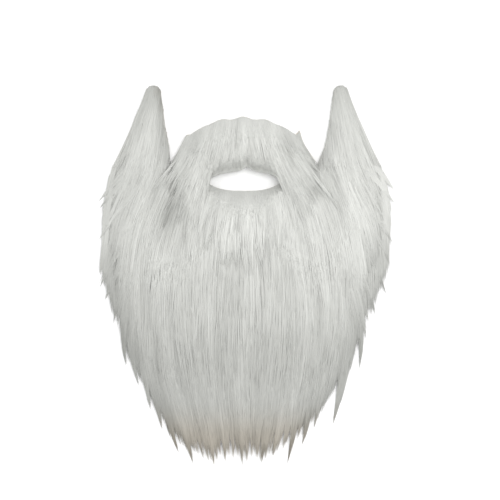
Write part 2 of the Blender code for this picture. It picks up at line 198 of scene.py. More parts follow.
# Slow drifts of the comb: strength, then turn for each metre in x and in y and start of two waves.
DRIFTS = (
    (1.0, 61, 23, 0, -47, 31, 1),
    (0.8, 170, 40, 2, -110, 60, 0),
)

# Comb of the moustache: height above the origin, and the sideways run for each metre down and each
# metre from its middle line. It is combed out further on the right.
WING_COMB = np.array([
    (-0.060, 1.0),
    (-0.030, 2.5),
    (0.005, 6.0),
    (0.030, 9.0),
    (0.050, 9.0),
    (0.090, 8.0),
])
WING_RIGHT = 1.25

# Tips of the long locks round the outline, from the left cheek by the end to the right cheek: x and y.
FRINGE_TIPS = np.array([
    (-0.147, 0.006), (-0.146, -0.001), (-0.146, -0.032), (-0.146, -0.080),
    (-0.142, -0.094), (-0.134, -0.116), (-0.124, -0.141), (-0.122, -0.158),
    (-0.110, -0.179), (-0.097, -0.204), (-0.086, -0.223), (-0.078, -0.231),
    (-0.069, -0.248), (-0.055, -0.259), (-0.034, -0.259), (-0.021, -0.255),
    (-0.006, -0.259), (0.015, -0.257), (0.027, -0.250), (0.041, -0.258),
    (0.056, -0.239), (0.068, -0.221), (0.087, -0.217), (0.094, -0.196),
    (0.102, -0.171), (0.113, -0.161), (0.120, -0.132), (0.128, -0.108),
    (0.139, -0.087), (0.143, -0.057), (0.144, -0.035), (0.147, 0.004), (0.146, 0.018),
])

# Tips of the thin wisps that fall from the moustache over the cheeks: x and y.
WISP_TIPS = np.array([
    (-0.097, 0.005), (-0.083, -0.029), (-0.063, -0.044),
    (0.081, 0.002), (0.044, -0.030), (0.096, -0.012),
])

# Grey level of the fur down the beard, falling towards its end and the sideburns' tips: partly the
# fur's own grey, partly painted shade. Then soft spots of painted shade where the fur lies deeper
# and of painted light where it lies higher: x, y, half width, half height and the change of level.
LEVELS = np.array([
    (-0.260, 158), (-0.235, 166), (-0.215, 173), (-0.185, 179), (-0.145, 180),
    (-0.115, 191), (-0.085, 194), (-0.030, 209), (0.040, 204), (0.090, 195), (0.120, 178),
])
PAINTED_SHADING_SPOTS = np.array([
    (-0.076, -0.008, 0.014, 0.030, -33),
    (0.062, 0.014, 0.010, 0.018, -5),
    (-0.117, -0.005, 0.025, 0.030, -4),
    (0.128, -0.035, 0.016, 0.030, -6),
    (-0.052, 0.045, 0.020, 0.020, -5),
    (0.048, 0.045, 0.020, 0.022, -11),
    (0.000, 0.062, 0.045, 0.026, 6),
    (-0.085, -0.068, 0.030, 0.022, 6),
    (0.075, -0.068, 0.030, 0.022, 4),
    (-0.090, -0.150, 0.020, 0.030, 4),
    (0.083, -0.150, 0.020, 0.030, 3),
    (-0.028, -0.070, 0.016, 0.012, -9),
    (0.042, -0.066, 0.012, 0.014, -9),
    (-0.003, 0.038, 0.034, 0.008, -3),
    (-0.0865, 0.104, 0.004, 0.022, -26),
    (-0.084, 0.062, 0.006, 0.028, -10),
])
STREAKS = ((0.033, 0.7), (0.021, 2.1))
STREAK_LEVEL = 2.6
# Painted light: the fur grows paler to the right, towards the lamp, by this many levels a metre
PAINTED_LIGHT_SLANT = 20

# Painted shade on the flanks, which slope away from the light: by how much, from which share of the
# half width, and below which height
PAINTED_FLANK_SHADE = -18
FLANK_SHARE = 0.78
FLANK_SHARE_FADE = 0.22
FLANK_TOP = 0.01
FLANK_TOP_FADE = 0.08

# Screen level of the darkest fur, the span up to the palest, and the share of a level that shows
DARKEST_FUR = 120
TONE_SPAN = 120
TONE_GAIN = 0.96

# Brownish fur: how far below the origin it starts and its fade, and the same up the left sideburn's
# inner edge with its width and strength
END_WARM_DROP = 0.195
END_WARM_FADE = 0.045
INNER_WARM_RISE = 0.05
INNER_WARM_FADE = 0.03
INNER_WARM_WIDTH = 0.003
INNER_WARMTH = 0.25

# Strands: steps of a lock's walk, those that may lie outside its ground, the fewest that make a
# lock, stations before the tip with their thickness, how flat a strand is, the most strands in a
# piece, and how deep the under-fur lies below the pile's top
STEPS = 24
FREE_STEPS = 4
SHORTEST_WALK = 5
RINGS = 5
TAPER = np.array([0.6, 0.95, 1.0, 0.85, 0.5])
FLATNESS = 0.2
PIECE_STRANDS = 5500
UNDER_FUR = 0.0012

# How a strand lies in its lock and in the pile: roots, waves, tips and tone. Shares are of its length.
ROOT_DEPTH = 0.0026
EDGE_ROOT_SHARE = 0.25
SHALLOWEST_ROOT = 0.4
RISE_SHARE = 0.12
RISE_SPREAD = 0.25
LIFT_SHARE = 0.4
SINK_START = 0.6
SINK_SHARE = 0.4
THIN_PILE = 0.012
SMALLEST_LOCK = 0.2
MIDDLE_LEVEL = 0.4
LEVEL_SPREAD = 0.0007
LOWEST = 0.0007
LOWEST_SPREAD = 0.0004
GATHER_POWER = 1.3
LOCK_TURN = 2.4
STRAND_TURN = 3.0
STRAND_WAVE = 0.15
LOCK_TONE = 0.11
STRAND_TONE = 0.034
ROOT_TONE = 0.35
TONE_SHARE = 0.45

# How many tips are spread over a plan box, some of which fall away, and the box's corners
BEARD_TIPS = (2100, (-0.150, -CHIN_DROP), (0.150, SIDEBURN_RISE))
END_TIPS = (230, (-0.075, -CHIN_DROP), (0.055, -CHIN_DROP + 0.030))
TUFT_TIPS = (190, (-0.060, -0.085), (0.054, -0.012))
MOUSTACHE_TIPS = (2100, (-0.120, -0.060), (0.115, 0.090))
WINGS_TIPS = (880, (-0.105, -0.055), (0.095, 0.045))

# Locks along the mouth's upper rim, how far the end's tips are moved down, how far the long fringe
# runs on past its tips, and the curve at which the chin's tuft ends
RIM_LOCKS = 170
END_DROP = 0.003
FRINGE_STRETCH = 0.0045
TUFT_END = -0.078
TUFT_CURVE = 14

# How the strands of one lock gather: its radius at the root, the share of it left at the tip, how
# far its strands wave, how round it stands, its strands, their thickness, how far they stray, and
# how deep their tips sink.
Gather = namedtuple("Gather", "radius tip wave bulge strands thickness stray sink")

BEARD_BODY = Gather(0.0060, 0.40, 0.0022, 0.0008, 13, 0.00056, 0.0004, 0.0016)
BEARD_END = Gather(0.0052, 0.20, 0.0010, 0.0006, 18, 0.00050, 0.0002, 0.0)
FRINGE_LONG = Gather(0.0050, 0.03, 0.0006, 0.0008, 46, 0.00046, 0.0001, 0.0)
FRINGE_SHORT = Gather(0.0046, 0.10, 0.0010, 0.0008, 20, 0.00046, 0.0002, 0.0)
FLANK_BLUNT = Gather(0.0036, 0.50, 0.0010, 0.0006, 20, 0.00046, 0.0002, 0.0)
CHIN_TUFT = Gather(0.0052, 0.14, 0.0020, 0.0012, 15, 0.00052, 0.0005, 0.0006)
MOUSTACHE_BODY = Gather(0.0044, 0.18, 0.0018, 0.0018, 13, 0.00052, 0.0003, 0.0012)
WING = Gather(0.0054, 0.12, 0.0018, 0.0010, 15, 0.00052, 0.0005, 0.0014)
WISP = Gather(0.0022, 0.10, 0.0026, 0.0006, 9, 0.00046, 0.0004, 0.0)
MOUTH_RIM = Gather(0.0030, 0.20, 0.0006, 0.0008, 9, 0.00046, 0.0002, 0.0)

rng = np.random.default_rng(7)


def swell(t):
    """A quarter of a sine: 0 at the edge, 1 at and past the crown."""
    return np.sin(0.5 * np.pi * np.clip(t, 0, 1))


def smooth(t):
    t = np.clip(t, 0, 1)
    return t * t * (3 - 2 * t)


# Plan and pile


def beard_edges(y):
    """Half width, centre and crown of the whole outline at heights y, sideburns included."""
    level = -y / CHIN_DROP
    levels, halves, sways, crowns = CHIN_TABLE.T
    half = np.interp(level, levels, halves) * JAW_WIDTH / 2
    centre = np.interp(level, levels, sways) * JAW_WIDTH
    crown = np.interp(level, levels, crowns) * BEARD_PILE
    return np.where(y > NOTCH_RISE, sideburn_edges(y, 1)[0], half), centre, crown


def sideburn_edges(y, side):
    """Outer and inner distance of a sideburn from the middle line at heights y, rounded at its tip.

    side is -1 or 1, since the notches lie to the two sides of the mouth and not of the middle line.
    """
    rise, out, slim = SIDE_TABLE.T
    foot = JAW_WIDTH / 2 * CHIN_TABLE[0, 1] - SIDEBURN_FOOT_WIDTH / 2
    centre = foot + (SIDEBURN_SPREAD / 2 - foot) * out
    half = (SIDEBURN_FOOT_WIDTH + (SIDEBURN_TIP_WIDTH - SIDEBURN_FOOT_WIDTH) * slim) / 2
    levels = np.concatenate([[NOTCH_RISE], rise * SIDEBURN_RISE])
    outer = np.interp(y, levels, np.concatenate([[foot + SIDEBURN_FOOT_WIDTH / 2], centre + half]))
    left, right = (np.interp(y, levels, np.concatenate([[notch], centre - half])) for notch in (
        SEAM_HALF_WIDTH - MOUTH_OFFSET, SEAM_HALF_WIDTH + MOUTH_OFFSET))
    inner = np.where(side < 0, left, right)
    cap = np.clip((y - SIDEBURN_RISE) / (SIDEBURN_TIP_WIDTH / 2) + 1, 0, 1)
    round_off = (outer - inner) / 2 * (1 - np.sqrt(1 - cap ** 2))
    return outer - round_off, inner + round_off


def lip_height(x):
    """Upper edge of the beard between the notches: a seam, the lower lip and the other seam."""
    across = np.abs(x - MOUTH_OFFSET)
    corner = LIP_RISE + CORNER_SHARE * MOUTH_HEIGHT
    lip = LIP_RISE + (corner - LIP_RISE) * (across / (MOUTH_WIDTH / 2)) ** LIP_FLATNESS
    seam = np.interp(across, [MOUTH_WIDTH / 2, SEAM_HALF_WIDTH], [corner, NOTCH_RISE])
    return np.where(across < MOUTH_WIDTH / 2, lip, seam)


def opening_line():
    """Points of the edge round the face, from one sideburn's tip by the lip to the other's."""
    y = np.linspace(SIDEBURN_RISE, NOTCH_RISE, 9)[:-1]
    x = np.linspace(-SEAM_HALF_WIDTH, SEAM_HALF_WIDTH, 25) + MOUTH_OFFSET
    left = np.stack([-sideburn_edges(y, -1)[1], y], -1)
    right = np.stack([sideburn_edges(y, 1)[1], y], -1)[::-1]
    return np.concatenate([left, np.stack([x, lip_height(x)], -1), right])


OPENING = opening_line()


def from_opening(x, y):
    """Distance of plan points from the edge round the face."""
    nearest = np.full(np.shape(x), np.inf)
    for (ax, ay), (bx, by) in zip(OPENING, OPENING[1:]):
        dx, dy = bx - ax, by - ay
        t = np.clip(((x - ax) * dx + (y - ay) * dy) / (dx * dx + dy * dy), 0, 1)
        nearest = np.minimum(nearest, np.hypot(x - ax - t * dx, y - ay - t * dy))
    return nearest


def in_beard(x, y):
    half, centre, _ = beard_edges(y)
    under_face = np.abs(x - MOUTH_OFFSET) < SEAM_HALF_WIDTH
    beside_face = (y < NOTCH_RISE) | (np.abs(x) > sideburn_edges(y, x)[1])
    clear = np.where(under_face, y < lip_height(x), beside_face)
    return (np.abs(x - centre) < half) & clear & (y < SIDEBURN_RISE) & (y > -CHIN_DROP)


def softer_min(a, b, blend):
    """The lower of two heights, rounded where they meet: minus the log of the summed exponentials."""
    return -blend * np.logaddexp(-a / blend, -b / blend)


def hollow(x, y):
    """Height of the hollow under a wing: a valley that curves up along the wing and at its sides."""
    out = np.abs(x - MOUTH_OFFSET) - (MOUTH_WIDTH / 2 + SEAM_HALF_WIDTH) / 2
    down = LIP_RISE + SEAM_RISE / 2 - y
    norm = math.hypot(WING_LEAN, 1.0)
    along, across = (out * WING_LEAN + down) / norm, (out - down * WING_LEAN) / norm
    lengthwise = HOLLOW_RISE * (along / WING_REACH) ** 2
    return HOLLOW_FLOOR + lengthwise + HOLLOW_SIDE_RISE * (across / HOLLOW_HALF_WIDTH) ** 2


def beard_pile(x, y):
    """Height of the beard's pile, falling to the floor outside the outline."""
    half, centre, crown = beard_edges(y)
    inward = half - np.abs(x - centre)
    swollen = swell(inward / OUTER_SLOPE) * swell(from_opening(x, y) / OPENING_SLOPE)
    top = PILE_EDGE + (crown - PILE_EDGE) * swollen
    beyond = np.maximum(np.maximum(-inward, 0), -CHIN_DROP - y)
    return softer_min(top, hollow(x, y), BLEND) * (1 - smooth(beyond / BEYOND_FALL))


def moustache_edges(x):
    """Lower and upper edge of the moustache at x."""
    s = (x - MOUSTACHE_OFFSET) / (CORNER_SPREAD / 2)
    upper = MOUSTACHE_RISE + (CORNER_RISE - MOUSTACHE_RISE) * np.abs(s) ** EDGE_ROUNDNESS
    nib = CORNER_POINT * np.clip(1 - np.abs(np.abs(s) - 1) * CORNER_SPREAD / 2 / NIB_HALF_WIDTH, 0, 1)
    nib = nib * (1 + CORNER_UNEVEN * np.sign(s))
    upper = upper + EDGE_WAVE * np.cos(EDGE_WAVES * np.pi * s) * np.clip(1 - (s / WAVE_REACH) ** 2, 0, 1)
    notch = SEAM_HALF_WIDTH - np.sign(s) * (MOUSTACHE_OFFSET - MOUTH_OFFSET)
    away = np.abs(x - MOUSTACHE_OFFSET)
    fall = (NOTCH_RISE - CORNER_RISE) * (away - CORNER_SPREAD / 2) / (notch - CORNER_SPREAD / 2)
    slant = CORNER_RISE + fall
    reach = np.abs(x - MOUTH_OFFSET) / (MOUTH_WIDTH / 2)
    aside = x - MOUTH_OFFSET - PEAK_SHIFT
    from_peak = np.abs(aside) / (MOUTH_WIDTH / 2 - np.sign(aside) * PEAK_SHIFT)
    left = np.interp(from_peak, RIM_TABLE[:, 0], RIM_TABLE[:, 1])
    rim = LIP_RISE + MOUTH_HEIGHT * (CORNER_SHARE + (1 - CORNER_SHARE) * left)
    lower = np.where(reach < 1, rim, lip_height(x))
    return lower + SEAM_GAP, np.where(np.abs(s) < 1, upper, np.maximum(slant, NOTCH_RISE)) + nib


def moustache_pile(x, y):
    """Height of the moustache's pile on its own cloth, round over its corners."""
    lower, _ = moustache_edges(x)
    reach = np.abs(x - MOUTH_OFFSET) / SEAM_HALF_WIDTH
    way_down = np.clip(reach, 0, SHOULDER_REACH) ** SHOULDER_ROUNDNESS
    shoulder = MOUSTACHE_RISE + (NOTCH_RISE - MOUSTACHE_RISE) * way_down
    from_edge = swell((shoulder - y) / MOUSTACHE_SLOPE)
    over_mouth = 1 - smooth((np.abs(x - MOUTH_OFFSET) - MOUTH_WIDTH / 2 + LIP_FADE_START) / LIP_FADE)
    at_lip = (1 - LIP_THINNING) * (1 - swell((y - lower) / LIP_SLOPE)) * over_mouth
    at_seam = SEAM_THINNING * (1 - smooth((y - lower) / SEAM_SLOPE)) * (1 - over_mouth)
    return CORE_SEAT + PILE_EDGE + (MOUSTACHE_PILE - PILE_EDGE) * from_edge * (1 - at_lip - at_seam)


def wing_cover(x, y):
    """Height of the moustache's hair past its seams: as high as at the seam, and falling to the cheek.

    A place looks back up the comb to the part of the seam that its hair comes over.
    """
    past = np.maximum(moustache_edges(x)[0] - y, 0)
    back = (x - MOUTH_OFFSET) * (1 - WING_NARROWING * np.minimum(past, NARROWING_REACH))
    across = np.abs(back)
    source = MOUTH_OFFSET + np.clip(back, -SEAM_HALF_WIDTH, SEAM_HALF_WIDTH)
    beside_mouth = smooth((across - MOUTH_WIDTH / 2 + LIP_FADE_START) / WING_FADE)
    beside = beside_mouth * smooth((SEAM_HALF_WIDTH + NOTCH_MARGIN - across) / WING_FADE)
    out = np.clip((across - MOUTH_WIDTH / 2) / (SEAM_HALF_WIDTH - MOUTH_WIDTH / 2), 0, 1)
    fall = WING_FALL_INNER + (WING_FALL_OUTER - WING_FALL_INNER) * out
    return moustache_pile(source, moustache_edges(source)[0]) * beside * (1 - smooth(past / fall))


def cheek_top(x, y):
    """Height of the beard's fur with the moustache's wings over it."""
    return -softer_min(-beard_pile(x, y), -wing_cover(x, y), WING_BLEND)


def in_moustache(x, y):
    lower, upper = moustache_edges(x)
    return (y < upper) & (np.abs(x - MOUTH_OFFSET) < SEAM_HALF_WIDTH) & (y > lower)


# Meshes


def add_piece(name, points, faces, material, uv=None, smooth_faces=True):
    mesh = bpy.data.meshes.new(name)
    mesh.vertices.add(len(points))
    mesh.vertices.foreach_set("co", points.astype(np.float32).ravel())
    mesh.loops.add(faces.size)
    mesh.loops.foreach_set("vertex_index", faces.astype(np.int32).ravel())
    mesh.polygons.add(len(faces))
    mesh.polygons.foreach_set("loop_start", np.arange(0, faces.size, faces.shape[1], dtype=np.int32))
    mesh.polygons.foreach_set("use_smooth", np.full(len(faces), smooth_faces))
    mesh.update(calc_edges=True)
    if uv is not None:
        layer = mesh.uv_layers.new(name="OFBake")
        layer.data.foreach_set("uv", uv[faces.ravel()].astype(np.float32).ravel())
    mesh.materials.append(material)
    obj = bpy.data.objects.new(name, mesh)
    bpy.context.scene.collection.objects.link(obj)
    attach(obj, "root")
    return obj


def slab(x, y, low, high):
    """Closed solid over a grid of plan points, rows from the top down: points and four-sided faces."""
    low, high = np.broadcast_to(low, x.shape), np.broadcast_to(high, x.shape)
    points = np.concatenate([np.stack([x, y, z], -1).reshape(-1, 3) for z in (low, high)])
    index = np.arange(x.size).reshape(x.shape)
    top = np.stack([index[:-1, :-1], index[1:, :-1], index[1:, 1:], index[:-1, 1:]], -1).reshape(-1, 4)
    rim = np.concatenate([index[:-1, 0], index[-1, :-1], index[:0:-1, -1], index[0, :0:-1]])
    after = np.roll(rim, -1)
    side = np.stack([rim, after, after + x.size, rim + x.size], -1)
    return points, np.concatenate([top + x.size, top[:, ::-1], side])


def joined(shapes):
    starts = np.cumsum([0] + [len(points) for points, _ in shapes])
    faces = [faces + start for (_, faces), start in zip(shapes, starts)]
    return np.concatenate([points for points, _ in shapes]), np.concatenate(faces)


def strand_mesh(paths, radii):
    """Closed three-sided strands: a triangle at each station but the last, which is the tip.

    paths holds the stations' points from root to tip, strand by strand, and radii their radii.
    """
    along = np.gradient(paths, axis=1)
    along /= np.linalg.norm(along, axis=2, keepdims=True)
    aside = np.cross(along, [0.0, 0.0, 1.0])
    aside /= np.maximum(np.linalg.norm(aside, axis=2, keepdims=True), 1e-9)
    above = np.cross(aside, along)
    angles = np.radians([90, 210, 330])[:, None]
    aside, above, radii = aside[:, :-1, None], above[:, :-1, None], radii[:, :, None, None]
    rings = paths[:, :-1, None] + radii * (np.cos(angles) * aside + FLATNESS * np.sin(angles) * above)
    count = 3 * RINGS + 1
    points = np.concatenate([rings.reshape(len(paths), -1, 3), paths[:, -1:]], axis=1)
    faces = [(0, 1, 2)]
    for c in range(3):
        a, b = c, (c + 1) % 3
        for ring in range(0, 3 * RINGS - 3, 3):
            faces += [(a + ring, b + ring + 3, b + ring), (a + ring, a + ring + 3, b + ring + 3)]
        faces.append((a + 3 * RINGS - 3, count - 1, b + 3 * RINGS - 3))
    starts = np.arange(len(paths)) * count
    return points.reshape(-1, 3), (np.array(faces)[None] + starts[:, None, None]).reshape(-1, 3)


# Hair


def beard_comb(x, y):
    """Sideways run for each metre down, with slow drifts by which the locks part and meet.

    On a sideburn it fans from its inner edge's lean to its outer edge's.
    """
    lean = np.interp(y, COMB[:, 0], COMB[:, 1]) * np.tanh(x / COMB_SPREAD)
    outer, inner = sideburn_edges(y, x)
    across = np.clip((np.abs(x) - inner) / (outer - inner + 0.001), 0, 1)
    fan = np.sign(x) * (SIDE_COMB[0] + (SIDE_COMB[1] - SIDE_COMB[0]) * across)
    up_sideburn = smooth((y - FAN_RISE) / FAN_RISE_FADE)
    lean = lean + (fan - lean) * up_sideburn * smooth((np.abs(x) - FAN_OUT) / FAN_OUT_FADE)
    drift = 0
    for strength, ax, ay, a, bx, by, b in DRIFTS:
        drift = drift + strength * np.sin(ax * x + ay * y + a) * np.sin(bx * x + by * y + b)
    return lean + COMB_DRIFT * drift


def fringe_comb(x, y):
    """The comb of the locks round the outline, which splay out on the cheeks."""
    return beard_comb(x, y) + FRINGE_SPLAY * np.sign(x) * smooth((y - SPLAY_RISE) / SPLAY_FADE)


def flank_comb(x, y):
    """The comb of the short locks along the cheeks, which turn down to lie along the outline."""
    return FLANK_COMB * beard_comb(x, y)


def moustache_comb(x, y):
    out = x - MOUSTACHE_OFFSET
    return np.interp(y, WING_COMB[:, 0], WING_COMB[:, 1]) * out * np.where(out > 0, WING_RIGHT, 1.0)


def scattered(count, low, high):
    """Plan points spread evenly in a box, each a fixed irrational step on from the last."""
    even_steps = np.array([0.7548776662, 0.5698402910])
    shares = np.arange(1, count + 1)[:, None] * even_steps % 1.0
    return np.array(low) + shares * (np.array(high) - np.array(low))


def walk_up(tips, lengths, comb, inside):
    """Walk from each tip against the comb towards its root, and stop where the pile ends.

    The first FREE_STEPS may lie outside, as the tips of the fringe do. Gives the places from root
    to tip, STEPS + 1 for each hair, and how many steps each one moved.
    """
    place, moving, moved, walk = tips, np.ones(len(tips), dtype=bool), np.zeros(len(tips)), [tips]
    for step in range(STEPS):
        lean = comb(place[:, 0], place[:, 1])
        pace = lengths / STEPS / np.hypot(lean, 1)
        ahead = place + np.stack([-lean, np.ones_like(lean)], -1) * pace[:, None]
        moving = moving & (inside(ahead[:, 0], ahead[:, 1]) | (step < FREE_STEPS))
        place = np.where(moving[:, None], ahead, place)
        moved += moving
        walk.append(place)
    return np.stack(walk[::-1], 1), moved


def in_mouth(x, y):
    """Inside the mouth's opening, by more than the rim's hair may cover."""
    rim, _ = moustache_edges(x)
    reach = np.abs(x - MOUTH_OFFSET) / (MOUTH_WIDTH / 2)
    covered = (y > rim - RIM_COVER - RIM_COVER_MIDDLE * (1 - reach)) | (y < lip_height(x) + RIM_COVER)
    return (reach < 1) & ~covered


def clear_of_mouth(x, y):
    """Whether each strand stays out of the mouth, at its stations and twice between each two."""
    clear = np.ones(len(x), dtype=bool)
    for t in (0, 0.33, 0.67, 1):
        clear &= ~in_mouth(x[:, :-1] + t * np.diff(x), y[:, :-1] + t * np.diff(y)).any(axis=1)
    return clear


def along_walk(walk, moved, share):
    """Plan places at each strand's shares of the walk that its lock made."""
    position = (STEPS - moved)[:, None] + share * moved[:, None]
    first = np.minimum(position.astype(int), STEPS - 1)
    part = (position - first)[..., None]
    strand = np.arange(len(walk))[:, None]
    return walk[strand, first] * (1 - part) + walk[strand, first + 1] * part


def locks(tips, lengths, comb, inside, height, gather, lift=0.0, shade=0.0, within=None, shortest=0.84):
    """Strands in locks that end at the tips: their stations, radii, tones and warmth.

    Every lock follows the comb from its root to its tip, and its strands draw together on the way.
    They start below the pile's top, come up through it and sink back at their tips. Where the walk
    ended at the pile's edge they start there and shallower. A strand that leaves its ground is left
    out. lift raises the locks, and shade brightens them as painted light on hair that lies higher.
    shortest is the least share of its lock's length that a strand has.
    """
    walk, moved = walk_up(tips, lengths, comb, inside)
    enough = moved >= SHORTEST_WALK
    count = enough.sum()
    owner = np.repeat(np.arange(count), gather.strands)
    n = len(owner)
    lock_wave, lock_turn, lock_level = (draw[owner][:, None] for draw in (
        rng.normal(size=count), rng.uniform(0, 2 * np.pi, count), rng.random(count)))
    walk, moved, lengths = (value[enough][owner] for value in (walk, moved, lengths))
    share = np.linspace(0, 1, RINGS + 1)[None] * rng.uniform(shortest, 1.0, (n, 1))
    path = along_walk(walk, moved, share)
    size = np.clip(moved[:, None] / STEPS, SMALLEST_LOCK, 1)
    at_edge = moved < STEPS

    # Place in the lock
    radius, turn = np.sqrt(rng.random(n)), rng.uniform(0, 2 * np.pi, n)
    spread = gather.radius * (1 + (gather.tip - 1) * share ** GATHER_POWER)
    wave = lock_wave * np.sin(lock_turn + LOCK_TURN * share)
    own_wave = rng.normal(size=(n, 1)) * np.sin(rng.uniform(0, 6.3, (n, 1)) + STRAND_TURN * share)
    stray = rng.normal(size=(n, 1)) ** 3 * gather.stray * share ** 2
    waved = size * (gather.wave * share * (wave + STRAND_WAVE * own_wave) + stray)
    sideways = (radius * np.cos(turn))[:, None] * spread + waved
    forward = np.where(at_edge, -EDGE_ROOT_SHARE * np.abs(np.sin(turn)), np.sin(turn))
    lengthwise = (radius * forward)[:, None] * gather.radius
    x, y = path[..., 0] + sideways, path[..., 1] + lengthwise * (1 - share)

    # Height over the cloth
    pile = height(x, y)
    fullness = np.clip(pile / THIN_PILE, 0, 1)
    raised = gather.bulge * (1 - radius[:, None] ** 2) * np.sin(np.pi * share)
    level = (lock_level - MIDDLE_LEVEL) * gather.bulge + lift * smooth(share / LIFT_SHARE)
    shallow = np.where(at_edge, EDGE_ROOT_SHARE, 1.0)
    sunk = ROOT_DEPTH * (shallow * np.clip(lengths / HAIR_LENGTH, SHALLOWEST_ROOT, 1))[:, None]
    rising = (RISE_SHARE + RISE_SPREAD * rng.random(count))[owner][:, None]
    depth = sunk * (1 - smooth(share / rising)) + LEVEL_SPREAD * rng.random((n, 1))
    tip_sink = gather.sink * smooth((share - SINK_START) / SINK_SHARE) * fullness
    z = pile + (raised + level - depth) * (fullness * size) - tip_sink
    z = np.maximum(z, LOWEST + LOWEST_SPREAD * rng.random((n, 1)))

    radii = gather.thickness * TAPER * rng.uniform(0.65, 1.25, (n, 1)) * (0.5 + 0.5 * size)
    # shade is painted light on raised hair; the lock's and the strand's tones differ at random
    own_tone = shade + LOCK_TONE * (lock_level - 0.5) + STRAND_TONE * rng.normal(size=(n, 1))
    tone = tone_at(x, y) + own_tone * (ROOT_TONE + (1 - ROOT_TONE) * smooth(share / TONE_SHARE))
    kept = inside(x[:, 0], y[:, 0]) & clear_of_mouth(x, y)
    if within is not None:
        kept &= within(x, y).all(axis=1)
    return [value[kept] for value in (np.stack([x, y, z], -1), radii, tone, warmth(x, y))]


def tone_at(x, y):
    """Tone over the plan, from 0 to 1, by the grey level that the fur shows there.

    Broad streaks run down the comb from the places where their hair comes from. Painted light and
    shade lie in the level too: painted shade down the flanks and in the deeper spots, painted light
    to the right and in the higher spots, and a fall towards the end that is partly painted shade.
    """
    half, centre, _ = beard_edges(y)
    # The fall down the levels is partly painted shade, the slant is painted light to the right, and the
    # flanks get painted shade
    level = np.interp(y, LEVELS[:, 0], LEVELS[:, 1]) + PAINTED_LIGHT_SLANT * x
    flank_shade = PAINTED_FLANK_SHADE * smooth((np.abs(x - centre) / half - FLANK_SHARE) / FLANK_SHARE_FADE)
    level = level + flank_shade * smooth((FLANK_TOP - y) / FLANK_TOP_FADE)
    rise, lean = COMB.T
    run = np.concatenate([[0], np.cumsum(np.diff(rise) * (lean[1:] + lean[:-1]) / 2)])
    source = x + np.tanh(x / COMB_SPREAD) * (np.interp(y, rise, run) - np.interp(0, rise, run))
    for width, turn in STREAKS:
        winding = 1.5 * np.sin(25 * y + 40 * source)
        level = level + STREAK_LEVEL * np.sin(2 * np.pi * source / width + turn + winding)
    # Spots of painted shade where the fur lies deeper and of painted light where it lies higher
    for spot_x, spot_y, half_width, half_height, change in PAINTED_SHADING_SPOTS:
        away = -((x - spot_x) / half_width) ** 2 - ((y - spot_y) / half_height) ** 2
        level = level + change * np.exp(away)
    return (TONE_GAIN * level - DARKEST_FUR) / TONE_SPAN


def warmth(x, y):
    """How brownish the fur is: at the beard's end, and a little at the left sideburn's inner edge."""
    from_edge = (x + sideburn_edges(y, -1)[1]) / INNER_WARM_WIDTH
    inner = np.exp(-from_edge ** 2) * smooth((y - INNER_WARM_RISE) / INNER_WARM_FADE)
    at_end = smooth((-y - END_WARM_DROP) / END_WARM_FADE)
    return np.clip(at_end + INNER_WARMTH * inner, 0.01, 0.99)


def at_stations(values):
    """A value for every point of the strands: three at each station, and one at the tip."""
    return np.concatenate([np.repeat(values[:, :-1], 3, axis=1), values[:, -1:]], axis=1).ravel()


def add_strands(name, shapes, material):
    """Pieces of at most PIECE_STRANDS strands, from the top of the picture down."""
    paths, radii, tones, warm = (np.concatenate(parts) for parts in zip(*shapes))
    order = np.argsort(-paths[:, -1, 1])
    for part, chosen in enumerate(np.array_split(order, math.ceil(len(order) / PIECE_STRANDS))):
        points, faces = strand_mesh(paths[chosen], radii[chosen])
        tone = np.clip(tones[chosen], 0.01, 0.99)
        uv = np.stack([at_stations(tone), at_stations(warm[chosen])], -1)
        piece = add_piece(f"{name}_{part + 1}", points, faces, material, uv, smooth_faces=False)


def outline_places(count):
    """Places spaced evenly round the outline, from the left cheek by the end to the right cheek."""
    rows = CHIN_TABLE[2:]
    half, centre, y = rows[:, 1] * JAW_WIDTH / 2, rows[:, 2] * JAW_WIDTH, -rows[:, 0] * CHIN_DROP
    x = np.concatenate([centre - half, (centre + half)[::-1]])
    y = np.concatenate([y, y[::-1]])
    run = np.concatenate([[0], np.cumsum(np.hypot(np.diff(x), np.diff(y)))])
    share = (np.arange(count) + 0.5) / count * run[-1]
    return np.interp(share, run, x), np.interp(share, run, y)


def below_lip(x, y):
    return (y < lip_height(x)) & (np.abs(x) < JAW_WIDTH / 2 + 0.03)


def near_outline(x, y):
    """In the beard or just past its flanks, where the blunt locks smooth the outline."""
    half, centre, _ = beard_edges(y)
    margin = 0.004 * smooth((0.040 - y) / 0.045)
    return (np.abs(x - centre) < half + margin) & (y < lip_height(x))


def moved_along(x, y, lean, distance):
    """Plan points a distance further down the lean."""
    norm = np.hypot(lean, 1)
    return np.stack([x + distance * lean / norm, y - distance / norm], -1)


def beard_body():
    """The long locks all over the beard, apart from those that the moustache's wings would hide."""
    tips = scattered(*BEARD_TIPS)
    covered = wing_cover(*tips.T) > beard_pile(*tips.T) + 0.002
    tips = tips[in_beard(*tips.T) & ~covered]
    lengths = HAIR_LENGTH * rng.uniform(0.85, 1.3, len(tips))
    return locks(tips, lengths, beard_comb, in_beard, beard_pile, BEARD_BODY, within=in_beard)


def long_fringe():
    """The pointed locks that end at FRINGE_TIPS."""
    lengths = HAIR_LENGTH * rng.uniform(0.75, 0.95, len(FRINGE_TIPS))
    x, y = FRINGE_TIPS.T
    tips = moved_along(x, y, fringe_comb(x, y), FRINGE_STRETCH)
    return locks(tips, lengths, fringe_comb, below_lip, beard_pile, FRINGE_LONG)


